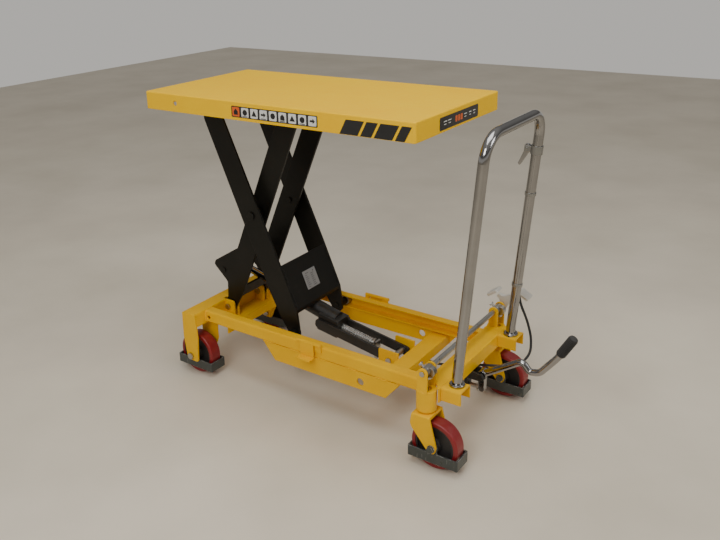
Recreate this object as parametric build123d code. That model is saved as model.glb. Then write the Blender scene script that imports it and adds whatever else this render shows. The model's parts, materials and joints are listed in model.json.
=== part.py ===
from build123d import *
import os
from math import atan2, cos, degrees, hypot, pi, radians, sin, sqrt, tan

# Scissor lift table with a foot pump, two fixed wheels and two braked casters.
# X runs from the fixed-wheel end to the handle end, Y across, Z up from the floor.
# All sizes are in millimetres and the table is drawn fully raised.

# ---------------------------------------------------------------- driving sizes
platform_length = 1016.0
platform_width = 510.0
platform_depth = 57.0
platform_sheet = 3.0
raised_height = 1018.0
lowered_height = 430.0

# ---------------------------------------------------------------- scissor
scissor_centre_x = -191.0
half_span = 164.0            # half the distance between an arm's end pivots, raised
pivot_height = 217.0         # lower pivots and lower roller axles above the floor
pivot_drop = 31.0            # upper pivots below the platform's top face
arm_sheet = 8.0
outer_arm_y = 125.0          # middle of each outer arm
inner_arm_y = 82.0           # middle of each inner arm
arm_half_width = 40.0
arm_pin_radius = 10.0
foot_radius = 24.0           # rounded ends of the arms at the base
head_radius = 26.0           # rounded ends of the arms at the platform
running_gap = 0.05           # radial clearance of every shaft in its bore
side_gap = 0.6               # clearance between faces that turn past each other

# ---------------------------------------------------------------- rollers and rails
roller_radius = 17.5
roller_width = 20.0
rail_outer_y = 200.0
rail_depth = 34.0
rail_wall = 4.0
roller_play = 0.5

# ---------------------------------------------------------------- base frame
frame_front_x = -430.0
cross_width = 60.0           # the front cross member along X
cross_height = 50.0
cross_top = 241.0
frame_half_width = 255.0
plate = 6.0                  # frame plates, brackets and ears
rear_beam_x = 518.0
rear_beam_width = 60.0
rear_beam_height = 46.0
rear_beam_top = 250.0
rear_cross_x = 335.0
rear_cross_width = 59.0
rear_cross_height = 32.0
rear_cross_gap = 8.0         # the rear cross member lies this far under the rails
gusset_start_x = -107.0
gusset_end_x = 426.0
gusset_slope_start = 49.0
gusset_slope_end = 50.0
gusset_bottom = 134.0

# ---------------------------------------------------------------- wheels
wheel_radius = 75.0
wheel_width = 44.0
tyre_thickness = 13.0
axle_radius = 8.0
fixed_wheel_x = -401.0
fixed_wheel_y = 206.0
caster_x = 539.0
caster_y = 236.0
caster_trail = 38.0
guard_length = 162.0
guard_width = 68.0
guard_sheet = 4.0
guard_bottom = 24.0
guard_height = 33.0

# ---------------------------------------------------------------- caster housings and brake
housing_radius = 30.0
housing_bottom = 177.0
housing_top = 242.0
kingpin_radius = 15.0
brake_shaft_radius = 8.0
brake_shaft_height = 300.0
brake_throw = 14.0           # the cams' eccentricity
brake_travel_deg = 20.0

# ---------------------------------------------------------------- push handle
handle_radius = 15.0
handle_foot_x = 611.0
handle_half_width = 187.0
handle_top_x = 676.0
handle_top_z = 984.0
handle_bend = 70.0

# ---------------------------------------------------------------- pump and pedal
pump_pivot_x = 300.0
pump_pivot_z = 172.0
ram_pin_x = -377.0
ram_pin_z = 352.0
ram_radius = 14.0
ram_pin_radius = 11.0
cylinder_radius = 28.0
cylinder_wall = 6.0
ram_slot_travel = 14.0       # free travel of the cross shaft along the slot in the ram's end
ram_slot_half = 12.2         # half the slot's width
pedal_pivot_x = 605.0
pedal_pivot_z = 194.0
pedal_crank = 48.0
pedal_tube_radius = 10.5
push_rod_radius = 7.0
push_rod_z = pedal_pivot_z - pedal_crank

# ---------------------------------------------------------------- worked-out places
upper_pivot_z = raised_height - pivot_drop
half_rise = (upper_pivot_z - pivot_height) / 2
scissor_centre_z = pivot_height + half_rise
arm_length = 2 * hypot(half_span, half_rise)
fixed_pivot_x = scissor_centre_x - half_span
roller_x = scissor_centre_x + half_span
raised_angle = atan2(half_rise, half_span)
lowered_rise = (lowered_height - pivot_drop - pivot_height) / arm_length
lowered_angle = atan2(lowered_rise, sqrt(1 - lowered_rise ** 2))
lift_travel_deg = degrees(raised_angle - lowered_angle)

rail_half_height = roller_radius + roller_play + rail_wall
rail_top = pivot_height + rail_half_height
rail_bottom = pivot_height - rail_half_height
rail_inner_y = rail_outer_y - rail_depth
cross_bottom = cross_top - cross_height
cross_rear_x = frame_front_x + cross_width
rear_cross_top = rail_bottom - rear_cross_gap
rear_cross_bottom = rear_cross_top - rear_cross_height
gusset_inner_y = rail_outer_y - 2 - plate
rear_beam_end_x = rear_beam_x + rear_beam_width
rear_beam_bottom = rear_beam_top - rear_beam_height
sheet_underside = raised_height - platform_sheet
platform_bottom = raised_height - platform_depth

outer_arm_inner = outer_arm_y - arm_sheet / 2
outer_arm_outer = outer_arm_y + arm_sheet / 2
inner_arm_inner = inner_arm_y - arm_sheet / 2
inner_arm_outer = inner_arm_y + arm_sheet / 2


# ---------------------------------------------------------------- shape helpers
def block(x, y, z):
    """A box between the two limits given for each axis."""
    size = [limits[1] - limits[0] for limits in (x, y, z)]
    middle = [sum(limits) / 2 for limits in (x, y, z)]
    return Pos(*middle) * Box(*size)


def shaft(x, z, radius, y):
    """A round bar along Y."""
    place = Plane(origin=(x, y[0], z), x_dir=(1, 0, 0), z_dir=(0, 1, 0))
    return place * Cylinder(radius, y[1] - y[0], align=(Align.CENTER, Align.CENTER, Align.MIN))


def post(x, y, radius, z):
    """A round bar along Z."""
    return Pos(x, y, z[0]) * Cylinder(radius, z[1] - z[0], align=(Align.CENTER, Align.CENTER, Align.MIN))


def stud(y, z, radius, x):
    """A round bar along X."""
    place = Plane(origin=(x[0], y, z), x_dir=(0, 1, 0), z_dir=(1, 0, 0))
    return place * Cylinder(radius, x[1] - x[0], align=(Align.CENTER, Align.CENTER, Align.MIN))


def profile(corners, y):
    """A flat plate across Y. Each corner is (x, z) or (x, z, rounding radius)."""
    points = [Vector(c[0], y[0], c[1]) for c in corners]
    face = Face(Wire.make_polygon(points, close=True))
    for corner, point in zip(corners, points):
        if len(corner) > 2:
            nearest = min(face.vertices(), key=lambda v: (Vector(*v) - point).length)
            face = face.fillet_2d(corner[2], [nearest])
    return extrude(face, amount=y[1] - y[0], dir=(0, 1, 0))


def span(side, low, high):
    """Y limits on the near (-1) or far (+1) side, from distances off the middle."""
    return (side * low, side * high) if side > 0 else (side * high, side * low)


def ring(x, z, radius, bore, y):
    return shaft(x, z, radius, y) - shaft(x, z, bore, (y[0] - 1, y[1] + 1))


def hex_head(x, z, across, y):
    place = Plane(origin=(x, y[0], z), x_dir=(1, 0, 0), z_dir=(0, 1, 0))
    return place * extrude(RegularPolygon(across / 2, 6, major_radius=False), y[1] - y[0])


def pipe(points, radius, bends):
    path = FilletPolyline(*points, radius=bends)
    section = Plane(origin=path @ 0, z_dir=path % 0) * Circle(radius)
    return sweep(section, path=path)


def merged(pieces):
    shape = pieces[0]
    for piece in pieces[1:]:
        shape = shape + piece
    return shape


nodes = {}
sides = {"near": -1, "far": 1}


# ---------------------------------------------------------------- front of the base
def front_cross_member():
    """Downward-open channel across the fixed-wheel end."""
    wall = 4.0
    outer = block((frame_front_x, cross_rear_x), (-frame_half_width + plate, frame_half_width - plate),
                  (cross_bottom, cross_top))
    outer = fillet(outer.edges().filter_by(Axis.Y).sort_by(Axis.Z)[-2:], 5)
    inside = block((frame_front_x + wall, cross_rear_x - wall), (-frame_half_width, frame_half_width),
                   (cross_bottom - 1, cross_top - wall))
    body = outer - inside
    for side in (-1, 1):
        body = body - block((fixed_pivot_x - foot_radius - 4, cross_rear_x + 1),
                            span(side, inner_arm_inner - 4, inner_arm_outer + 4), (cross_bottom - 1, cross_top + 1))
    return body


def front_leg(side):
    """Tapered outer plate and short inner plate that carry one fixed wheel's axle."""
    outline = [(frame_front_x, cross_top, 5), (cross_rear_x, cross_top), (cross_rear_x + 6, 150, 30),
               (cross_rear_x, 58, 8), (fixed_wheel_x - 18, 58, 8), (frame_front_x - 2, 148, 30)]
    outer = profile(outline, span(side, frame_half_width - plate, frame_half_width))
    inner_y = span(side, 162, 162 + plate)
    inner_outline = [(frame_front_x + 6, cross_bottom), (-350, cross_bottom), (-350, 120, 12),
                     (fixed_wheel_x + 24, 58, 10), (fixed_wheel_x - 20, 58, 10), (frame_front_x + 6, 130, 20)]
    inner = profile(inner_outline, inner_y)
    axle_hole = shaft(fixed_wheel_x, wheel_radius, axle_radius + running_gap, span(side, 150, 260))
    return [outer - axle_hole, inner - axle_hole]


def pivot_channel():
    """Flat channel under the front cross member that carries the arm brackets."""
    top = 180.0
    rear_x = -300.0
    front = block((frame_front_x, cross_rear_x), (-162, 162), (top, cross_bottom))
    channel = block((frame_front_x + 8, rear_x), (-162, 162), (150, top))
    inside = block((frame_front_x + 12, rear_x - 4), (-163, 163), (149, top - 4))
    return front + (channel - inside)


def arm_bracket(side):
    """Two ears that straddle one inner arm's foot."""
    ears = []
    for low in (inner_arm_inner - 4 - plate, inner_arm_outer + 4):
        outline = [(cross_rear_x, 180), (cross_rear_x, pivot_height + 25, 3),
                   (fixed_pivot_x + 28, pivot_height + 25, 10), (fixed_pivot_x + 28, 180)]
        ear = profile(outline, span(side, low, low + plate))
        ears.append(ear - shaft(fixed_pivot_x, pivot_height, arm_pin_radius, (-130, 130)))
    return ears


nodes["front_cross_member"] = front_cross_member()
nodes["front_legs"] = Compound(front_leg(-1) + front_leg(1))
nodes["pivot_channel"] = pivot_channel()
nodes["arm_pivot_brackets"] = Compound(arm_bracket(-1) + arm_bracket(1))


# ---------------------------------------------------------------- side rails
def side_rail(side):
    """Channel rail, open towards the middle, that the lower roller runs in."""
    limits = span(side, rail_inner_y, rail_outer_y)
    body = block((cross_rear_x, rear_beam_x), limits, (rail_bottom, rail_top))
    outer_edges = body.edges().filter_by(Axis.X).sort_by(Axis.Y)
    outer_edges = outer_edges[:2] if side < 0 else outer_edges[-2:]
    body = fillet(outer_edges, 7)
    hollow = block((cross_rear_x - 1, rear_beam_x + 1), span(side, rail_inner_y - 1, rail_outer_y - rail_wall),
                   (rail_bottom + rail_wall, rail_top - rail_wall))
    access_hole = shaft(fixed_pivot_x, pivot_height - 2, 7, span(side, rail_outer_y - 10, rail_outer_y + 1))
    return body - hollow - access_hole


def rail_gusset(side):
    """Tapered stiffening plate under a rail, with a lightening hole."""
    outline = [(gusset_start_x, rail_bottom), (gusset_end_x, rail_bottom),
               (gusset_end_x - gusset_slope_end, gusset_bottom), (gusset_start_x + gusset_slope_start, gusset_bottom)]
    body = profile(outline, span(side, gusset_inner_y, gusset_inner_y + plate))
    return body - shaft(284, 160, 12.5, span(side, 150, 250))


for name, side in sides.items():
    nodes["side_rail_" + name] = side_rail(side)
nodes["rail_gussets"] = Compound([rail_gusset(-1), rail_gusset(1)])


# ---------------------------------------------------------------- rear of the base
def rear_cross_member():
    """Channel between the gussets, with two clevis tabs for the pump."""
    wall = 4.0
    x = (rear_cross_x, rear_cross_x + rear_cross_width)
    body = block(x, (-gusset_inner_y, gusset_inner_y), (rear_cross_bottom, rear_cross_top))
    inside = block((x[0] + wall, x[1] - wall), (-gusset_inner_y - 1, gusset_inner_y + 1),
                   (rear_cross_bottom - 1, rear_cross_top - wall))
    tabs = []
    for side in (-1, 1):
        outline = [(rear_cross_x, rear_cross_bottom), (rear_cross_x, pump_pivot_z + 34),
                   (pump_pivot_x - 38, pump_pivot_z + 36, 4), (pump_pivot_x - 38, rear_cross_bottom, 6)]
        tab = profile(outline, span(side, 49, 49 + plate))
        tabs.append(tab - shaft(pump_pivot_x, pump_pivot_z, arm_pin_radius, (-60, 60)))
    return merged([body - inside] + tabs)


def rear_end_beam():
    """Channel between the caster housings with two folded brackets for the handle."""
    wall = 5.0
    y = (-caster_y, caster_y)
    body = block((rear_beam_x, rear_beam_end_x), y, (rear_beam_bottom, rear_beam_top))
    body = fillet(body.edges().filter_by(Axis.Y).sort_by(Axis.Z)[-2:], 4)
    inside = block((rear_beam_x + wall, rear_beam_end_x - wall), (y[0] - 1, y[1] + 1),
                   (rear_beam_bottom - 1, rear_beam_top - wall))
    body = body - inside
    for side in (-1, 1):
        limits = (side * 192 - 31, side * 192 + 31)
        bracket = block((rear_beam_end_x, 640), limits, (208, rear_beam_top))
        bracket = fillet(bracket.edges().filter_by(Axis.X).sort_by(Axis.Z)[-2:], 7)
        hollow = block((rear_beam_end_x - 1, 641), (limits[0] + 5, limits[1] - 5), (207, rear_beam_top - 5))
        bracket = bracket - hollow - post(handle_foot_x, side * handle_half_width, handle_radius, (200, 260))
        body = body + bracket
    for side in (-1, 1):
        body = body - post(caster_x, side * caster_y, housing_radius, (150, 300))
        end_cap = block((rear_beam_x - 2, rear_beam_end_x + 2), span(side, caster_y - 4, caster_y + 40), (150, 300))
        ears = block((caster_x - 16, caster_x + 16), span(side, caster_y - 28, caster_y), (housing_top - 4, 300))
        body = body - end_cap - ears
    return body


def caster_housing(side):
    """Kingpin housing with two ears that carry the brake shaft."""
    y = side * caster_y
    body = post(caster_x, y, housing_radius, (housing_bottom, housing_top))
    body = fillet(body.edges().filter_by(GeomType.CIRCLE).sort_by(Axis.Z)[-1:], 2)
    for offset in (-1, 1):
        inner = 22.0
        limits = sorted((y + offset * inner, y + offset * (inner + plate)))
        outline = [(caster_x - 16, housing_top - 4), (caster_x - 16, brake_shaft_height + 16, 15.5),
                   (caster_x + 16, brake_shaft_height + 16, 15.5), (caster_x + 16, housing_top - 4)]
        body = body + profile(outline, limits)
    body = body - post(caster_x, y, kingpin_radius + running_gap, (housing_bottom - 1, housing_top + 1))
    return body - shaft(caster_x, brake_shaft_height, brake_shaft_radius + running_gap, (y - 40, y + 40))


nodes["rear_cross_member"] = rear_cross_member()
nodes["rear_end_beam"] = rear_end_beam()
nodes["caster_housings"] = Compound([caster_housing(-1), caster_housing(1)])


# ---------------------------------------------------------------- push handle
def push_handle():
    """Bent tube handle that leans towards the operator."""
    wall = 2.5
    foot_z = rear_beam_top - 12
    corners = [(handle_foot_x, -handle_half_width, foot_z), (handle_foot_x, -handle_half_width, rear_beam_top + 30),
               (handle_top_x, -handle_half_width, handle_top_z), (handle_top_x, handle_half_width, handle_top_z),
               (handle_foot_x, handle_half_width, rear_beam_top + 30), (handle_foot_x, handle_half_width, foot_z)]
    bends = [60.0, handle_bend, handle_bend, 60.0]
    return pipe(corners, handle_radius, bends) - pipe(corners, handle_radius - wall, bends)


def handle_collar(side):
    y = side * handle_half_width
    body = post(handle_foot_x, y, 23, (rear_beam_top, rear_beam_top + 9))
    body = chamfer(body.edges().filter_by(GeomType.CIRCLE).sort_by(Axis.Z)[-1:], 3)
    return body - post(handle_foot_x, y, handle_radius, (rear_beam_top - 1, rear_beam_top + 12))


nodes["push_handle"] = push_handle()
nodes["handle_collars"] = Compound([handle_collar(-1), handle_collar(1)])


# ---------------------------------------------------------------- wheels, guards and casters
def hub(x, y):
    """Wheel centre with a hub boss, a dished web and a rim."""
    rim_radius = wheel_radius - tyre_thickness
    half = wheel_width / 2
    body = shaft(x, wheel_radius, rim_radius, (y - half + 2, y + half - 2))
    for side in (-1, 1):
        dish = ring(x, wheel_radius, rim_radius - 6, 20, span(1, y + side * half - 10, y + side * half + 10))
        body = body - dish
    boss = shaft(x, wheel_radius, 18, (y - half - 7, y + half + 7))
    return body + boss - shaft(x, wheel_radius, axle_radius + running_gap, (y - 60, y + 60))


def tyre(x, y):
    """Moulded tyre with rounded shoulders."""
    half = wheel_width / 2
    body = shaft(x, wheel_radius, wheel_radius, (y - half, y + half))
    body = fillet(body.edges().filter_by(GeomType.CIRCLE), 5)
    return body - shaft(x, wheel_radius, wheel_radius - tyre_thickness, (y - half - 1, y + half + 1))


def foot_guard(x, y, length):
    """Folded strip round the lower part of a wheel that keeps feet clear."""
    top = guard_bottom + guard_height
    body = block((x - length / 2, x + length / 2), (y - guard_width / 2, y + guard_width / 2), (guard_bottom, top))
    body = fillet(body.edges().filter_by(Axis.Z), 3)
    sheet = guard_sheet
    inside = block((x - length / 2 + sheet, x + length / 2 - sheet),
                   (y - guard_width / 2 + sheet, y + guard_width / 2 - sheet), (guard_bottom - 1, top + 1))
    return body - inside


def guard_lug(x, y):
    """Upright of the foot guard that the axle bolt passes through."""
    top = guard_bottom + guard_height
    lug = profile([(x - 16, top - 3), (x - 16, wheel_radius + 16, 15), (x + 16, wheel_radius + 16, 15),
                   (x + 16, top - 3)], y)
    return lug - shaft(x, wheel_radius, axle_radius, (y[0] - 1, y[1] + 1))


def axle_bolt(x, y, reach):
    """Axle with a washer and a hexagon head at each end."""
    body = shaft(x, wheel_radius, axle_radius, (y - reach, y + reach))
    for side in (-1, 1):
        body = body + shaft(x, wheel_radius, 12, span(1, *sorted((y + side * reach, y + side * (reach + 2)))))
        body = body + hex_head(x, wheel_radius, 20, sorted((y + side * (reach + 2), y + side * (reach + 9))))
    return body


def guard_with_axle(x, y, reach, length):
    """Foot guard whose lugs stand on the axle between the wheel and its fork."""
    outer = guard_width / 2
    guard = foot_guard(x, y, length)
    for side in (-1, 1):
        limits = sorted((y + side * (outer - guard_sheet), y + side * outer))
        guard = guard + guard_lug(x, limits)
    return [guard, axle_bolt(x, y, reach)]


def caster_fork(side):
    """Fork with curved cheeks and a hollow kingpin."""
    y = side * caster_y
    half = guard_width / 2
    cheek = [(caster_x - 27, 172, 4), (caster_x + 31, 172, 4), (caster_x + 36, 150, 30), (caster_x + 46, 112, 40),
             (caster_x + caster_trail + 16, 80, 12), (caster_x + caster_trail + 10, 59, 10),
             (caster_x + caster_trail - 9, 59, 10), (caster_x + caster_trail - 36, 92, 60), (caster_x - 33, 134, 30)]
    body = block((caster_x - 27, caster_x + 31), (y - half - plate, y + half + plate), (162, 172))
    for offset in (-1, 1):
        limits = sorted((y + offset * half, y + offset * (half + plate)))
        body = body + profile(cheek, limits)
    body = fillet(body.edges().filter_by(Axis.X).sort_by(Axis.Z)[-2:], 5)
    body = body + post(caster_x, y, 24, (172, housing_bottom - side_gap))
    body = body + post(caster_x, y, kingpin_radius, (172, housing_top - 6))
    body = body - post(caster_x, y, 6.3, (150, 250))
    return body - shaft(caster_x + caster_trail, wheel_radius, axle_radius, (y - 60, y + 60))


for name, side in sides.items():
    nodes["front_tyre_" + name] = tyre(fixed_wheel_x, side * fixed_wheel_y)
    nodes["front_hub_" + name] = hub(fixed_wheel_x, side * fixed_wheel_y)
    nodes["caster_tyre_" + name] = tyre(caster_x + caster_trail, side * caster_y)
    nodes["caster_hub_" + name] = hub(caster_x + caster_trail, side * caster_y)
    nodes["caster_fork_" + name] = caster_fork(side)
    fork_reach = guard_width / 2 + plate
    nodes["caster_guard_" + name] = Compound(
        guard_with_axle(caster_x + caster_trail, side * caster_y, fork_reach, guard_length))


def front_guards():
    """Foot guards of the fixed wheels, held on the axles between the leg plates."""
    pieces = []
    for side in (-1, 1):
        y = side * fixed_wheel_y
        guard = foot_guard(fixed_wheel_x, y, guard_length)
        for offset in (-1, 1):
            outer = guard_width / 2
            limits = sorted((y + offset * (outer - guard_sheet), y + offset * outer))
            guard = guard + guard_lug(fixed_wheel_x, limits)
        pieces.append(guard)
    return pieces


def front_axle(side):
    low = 162.0
    high = frame_half_width
    limits = span(side, low, high)
    body = shaft(fixed_wheel_x, wheel_radius, axle_radius, limits)
    for outer, head in ((high, span(side, high, high + 8)), (low, span(side, low - 8, low))):
        body = body + hex_head(fixed_wheel_x, wheel_radius, 22, head)
    return body


nodes["front_guards"] = Compound(front_guards())


# ---------------------------------------------------------------- scissor arms
def arm_frame(inner):
    """Foot of an arm, its direction, and its square direction on the +X side."""
    lean = 1 if inner else -1
    foot_x = fixed_pivot_x if inner else roller_x
    along = (lean * cos(raised_angle), sin(raised_angle))
    across = (sin(raised_angle), -lean * cos(raised_angle))
    return foot_x, along, across


def arm_point(inner, s, n, rounding=None):
    """Place on an arm: s along it from the foot pivot, n across it towards +X."""
    foot_x, along, across = arm_frame(inner)
    x = foot_x + s * along[0] + n * across[0]
    z = pivot_height + s * along[1] + n * across[1]
    return (x, z) if rounding is None else (x, z, rounding)


def drilled(body, centre_bore):
    for x, z, radius in centre_bore:
        body = body - shaft(x, z, radius, (-200, 200))
    return body


def inner_arm(side):
    """Arm pivoted on the base, with a flare that takes the ram's cross shaft."""
    y = span(side, inner_arm_inner, inner_arm_outer)
    outline = [(0, 1 - foot_radius), (30, -21, 10), (84, -41, 14), (112, -118, 9), (130, -118, 11), (237, -42, 16),
               (arm_length - 60, -40, 40), (arm_length, 1 - head_radius), (arm_length, head_radius - 1),
               (arm_length - 50, 36, 30), (90, 36, 30), (0, foot_radius - 1)]
    arm = profile([arm_point(True, *p) for p in outline], y)
    arm = arm + shaft(fixed_pivot_x, pivot_height, foot_radius, y)
    arm = arm + shaft(roller_x, upper_pivot_z, head_radius, y)
    holes = [(fixed_pivot_x, pivot_height, arm_pin_radius + running_gap),
             (scissor_centre_x, scissor_centre_z, arm_pin_radius),
             (roller_x, upper_pivot_z, arm_pin_radius), (ram_pin_x, ram_pin_z, ram_pin_radius)]
    return drilled(arm, holes)


def outer_arm(side):
    """Arm that rolls on the base and is pivoted on the platform."""
    y = span(side, outer_arm_inner, outer_arm_outer)
    outline = [(0, 1 - foot_radius), (57, -33, 40), (150, -arm_half_width, 60), (arm_length - 60, -45, 40),
               (arm_length, 1 - head_radius), (arm_length, head_radius - 1), (arm_length - 50, 35, 30), (229, 44),
               (70, 44, 10), (12, 28, 14), (0, foot_radius - 1)]
    arm = profile([arm_point(False, *p) for p in outline], y)
    arm = arm + shaft(roller_x, pivot_height, foot_radius, y)
    arm = arm + shaft(fixed_pivot_x, upper_pivot_z, head_radius, y)
    holes = [(roller_x, pivot_height, arm_pin_radius),
             (scissor_centre_x, scissor_centre_z, arm_pin_radius + running_gap),
             (fixed_pivot_x, upper_pivot_z, arm_pin_radius + running_gap)]
    return drilled(arm, holes)


def outer_cross_plate():
    """Cover plate between the outer arms with its lower edge turned down."""
    sheet = 4.0
    lip = 12.0
    low = arm_point(False, 70, 44)
    corners = [arm_point(False, 229, 44), arm_point(False, 229, 44 - sheet), arm_point(False, 70, 44 - sheet),
               (low[0] - sheet, low[1] - lip), (low[0], low[1] - lip), low]
    return profile(corners, (-outer_arm_inner, outer_arm_inner))


def inner_cross_bar():
    """Flat bar that ties the feet of the inner arms together."""
    corners = [arm_point(True, s, n) for s, n in ((64, 31), (64, 24), (112, 24), (112, 31))]
    return profile(corners, (-inner_arm_inner, inner_arm_inner))


def data_plate():
    """Blank metal rating plate riveted to the cover plate."""
    corners = [arm_point(False, s, n) for s, n in ((112, 44), (112, 44.8), (176, 44.8), (176, 44))]
    return profile(corners, (-38, 30))


nodes["inner_arms"] = Compound([inner_arm(-1), inner_arm(1)])
nodes["outer_arms"] = Compound([outer_arm(-1), outer_arm(1)])
nodes["inner_cross_bar"] = inner_cross_bar()
nodes["outer_cross_plate"] = outer_cross_plate()
nodes["data_plate"] = data_plate()


# ---------------------------------------------------------------- arm pins and rollers
roller_start_y = {"lower": rail_outer_y - rail_wall - 4 - roller_width, "upper": 52.0}


def inner_arm_shafts():
    """Ram cross shaft, centre pins and upper roller stubs, all fixed in the inner arms."""
    pieces = [shaft(ram_pin_x, ram_pin_z, ram_pin_radius, (-inner_arm_outer - 3, inner_arm_outer + 3))]
    for side in (-1, 1):
        centre = shaft(scissor_centre_x, scissor_centre_z, arm_pin_radius,
                       span(side, inner_arm_inner - 4, outer_arm_outer + 2))
        head = shaft(scissor_centre_x, scissor_centre_z, 15, span(side, outer_arm_outer + side_gap,
                                                                   outer_arm_outer + 5))
        collar = shaft(scissor_centre_x, scissor_centre_z, 18, span(side, inner_arm_outer,
                                                                     outer_arm_inner - side_gap))
        pieces.append(centre + head + collar)
        stub = shaft(roller_x, upper_pivot_z, arm_pin_radius, span(side, roller_start_y["upper"] - 1,
                                                                     inner_arm_outer + 3))
        pieces.append(stub + shaft(roller_x, upper_pivot_z, 14, span(side, inner_arm_outer, inner_arm_outer + 5)))
    return pieces


def roller_stub(side):
    """Lower roller axle fixed in an outer arm."""
    start = roller_start_y["lower"]
    stub = shaft(roller_x, pivot_height, arm_pin_radius, span(side, outer_arm_inner - 3, start + roller_width + 1))
    collar = shaft(roller_x, pivot_height, 14, span(side, outer_arm_outer, start - side_gap))
    return stub + collar


def roller(x, z, y):
    body = shaft(x, z, roller_radius, y)
    body = fillet(body.edges().filter_by(GeomType.CIRCLE), 1.5)
    return body - shaft(x, z, arm_pin_radius + running_gap, (y[0] - 1, y[1] + 1))


nodes["inner_arm_shafts"] = Compound(inner_arm_shafts())
nodes["lower_roller_axles"] = Compound([roller_stub(-1), roller_stub(1)])
for name, side in sides.items():
    low = roller_start_y["lower"]
    nodes["lower_roller_" + name] = roller(roller_x, pivot_height, span(side, low, low + roller_width))
    low = roller_start_y["upper"]
    nodes["upper_roller_" + name] = roller(roller_x, upper_pivot_z, span(side, low, low + roller_width))


# ---------------------------------------------------------------- platform
def platform_top():
    """Folded sheet platform with rounded corners and a small lifting hole in one skirt."""
    half_x = platform_length / 2
    half_y = platform_width / 2
    body = block((-half_x, half_x), (-half_y, half_y), (platform_bottom, raised_height))
    body = fillet(body.edges().filter_by(Axis.Z), 8)
    body = fillet(body.faces().sort_by(Axis.Z)[-1].edges(), 4)
    sheet = platform_sheet
    inside = block((-half_x + sheet, half_x - sheet), (-half_y + sheet, half_y - sheet),
                   (platform_bottom - 1, sheet_underside))
    inside = fillet(inside.edges().filter_by(Axis.Z), 5)
    hole = shaft(-373, raised_height - 29, 8, (-half_y - 1, -half_y + sheet + 8))
    return body - inside - hole


def roller_channel(side):
    """Channel under the platform, open outwards, that an upper roller runs in."""
    half = roller_radius + roller_play
    web_y = roller_start_y["upper"] - 4 - rail_wall
    low = upper_pivot_z - half - rail_wall
    high = upper_pivot_z + half + rail_wall
    end_x = platform_length / 2 - 14
    body = block((-70, end_x), span(side, web_y, web_y + 28), (low, high))
    inside = block((-71, end_x + 1), span(side, web_y + rail_wall, web_y + 30), (low + rail_wall, high - rail_wall))
    return body - inside


def packing_strips():
    """Flat strips between the sheet and the roller channels."""
    top_of_channel = upper_pivot_z + roller_radius + roller_play + rail_wall
    web_y = roller_start_y["upper"] - 4 - rail_wall
    strips = []
    for side in (-1, 1):
        strips.append(block((-70, platform_length / 2 - 14), span(side, web_y, web_y + 28),
                            (top_of_channel, sheet_underside)))
    return strips


def platform_brackets():
    """Ears that straddle the tops of the outer arms, with their pins."""
    pieces = []
    for side in (-1, 1):
        for low in (outer_arm_inner - 2 - plate, outer_arm_outer + 2):
            outline = [(fixed_pivot_x - 28, sheet_underside), (fixed_pivot_x - 20, upper_pivot_z - 20, 12),
                       (fixed_pivot_x + 20, upper_pivot_z - 20, 12), (fixed_pivot_x + 28, sheet_underside)]
            ear = profile(outline, span(side, low, low + plate))
            pieces.append(ear - shaft(fixed_pivot_x, upper_pivot_z, arm_pin_radius, (-160, 160)))
        pieces.append(shaft(fixed_pivot_x, upper_pivot_z, arm_pin_radius,
                            span(side, outer_arm_inner - 11, outer_arm_outer + 11)))
    return pieces


nodes["platform_top"] = platform_top()
nodes["platform_channels"] = Compound([roller_channel(-1), roller_channel(1)] + packing_strips())
nodes["platform_brackets"] = Compound(platform_brackets())


# ---------------------------------------------------------------- brake
def brake_shaft():
    """Cross shaft with an eccentric cam and a set bolt between each pair of ears."""
    end = caster_y + 28 + 26
    body = shaft(caster_x, brake_shaft_height, brake_shaft_radius, (-caster_y - 31, end))
    for side in (-1, 1):
        y = side * caster_y
        limits = (y - 20, y + 20)
        body = body + shaft(caster_x, brake_shaft_height, 13, limits)
        body = body + shaft(caster_x + brake_throw, brake_shaft_height, 15, (y - 9, y + 9))
        bolt = Plane(origin=(caster_x, y, brake_shaft_height), x_dir=(0, 1, 0), z_dir=(-0.8, 0, 0.6))
        body = body + bolt * Cylinder(3.5, 26, align=(Align.CENTER, Align.CENTER, Align.MIN))
        head = Plane(origin=(caster_x - 17.6, y, brake_shaft_height + 13.2), x_dir=(0, 1, 0), z_dir=(-0.8, 0, 0.6))
        body = body + head * extrude(RegularPolygon(6.5, 6, major_radius=False), 5)
    return body


def brake_pedal():
    """Rocker with two ribbed treads on the far end of the brake shaft."""
    y = (caster_y + 28 + 8, caster_y + 28 + 24)
    x = caster_x
    z = brake_shaft_height
    left = (x - 30, z + 40)
    right = (x + 76, z + 54)
    body = profile([(x - 14, z - 12, 9), (x + 14, z - 12, 9), (x + 30, z + 22, 20), (x + 58, z + 36, 12),
                    (x + 62, z + 48, 4), (x + 28, z + 44, 24), (x + 6, z + 32, 20), (x - 12, z + 38, 6),
                    (x - 18, z + 30, 4), (x - 4, z + 16, 14)], y)
    tread_y = (y[0] - 13, y[1] + 13)
    for cx, cz, tilt in ((*left, 34), (*right, -30)):
        pad = Box(42, tread_y[1] - tread_y[0], 8)
        ribs = [Pos(offset, 0, 5) * Box(2.4, tread_y[1] - tread_y[0] - 6, 3) for offset in (-15, -9, -3, 3, 9, 15)]
        tread = fillet(pad.edges().filter_by(Axis.Z), 6)
        for rib in ribs:
            tread = tread + rib
        body = body + Pos(cx, sum(tread_y) / 2, cz) * Rot(0, -tilt, 0) * tread
    return body - shaft(x, z, brake_shaft_radius, (0, 400))


def brake_rod(side):
    """Push rod that the cam presses down through the kingpin onto the tyre."""
    y = side * caster_y
    head_top = brake_shaft_height - 15 - 0.4
    body = post(caster_x + 3, y, 16, (head_top - 6, head_top))
    body = body + post(caster_x, y, 6, (152, head_top - 3))
    return body + post(caster_x, y, 11, (150.4, 157))


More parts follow.
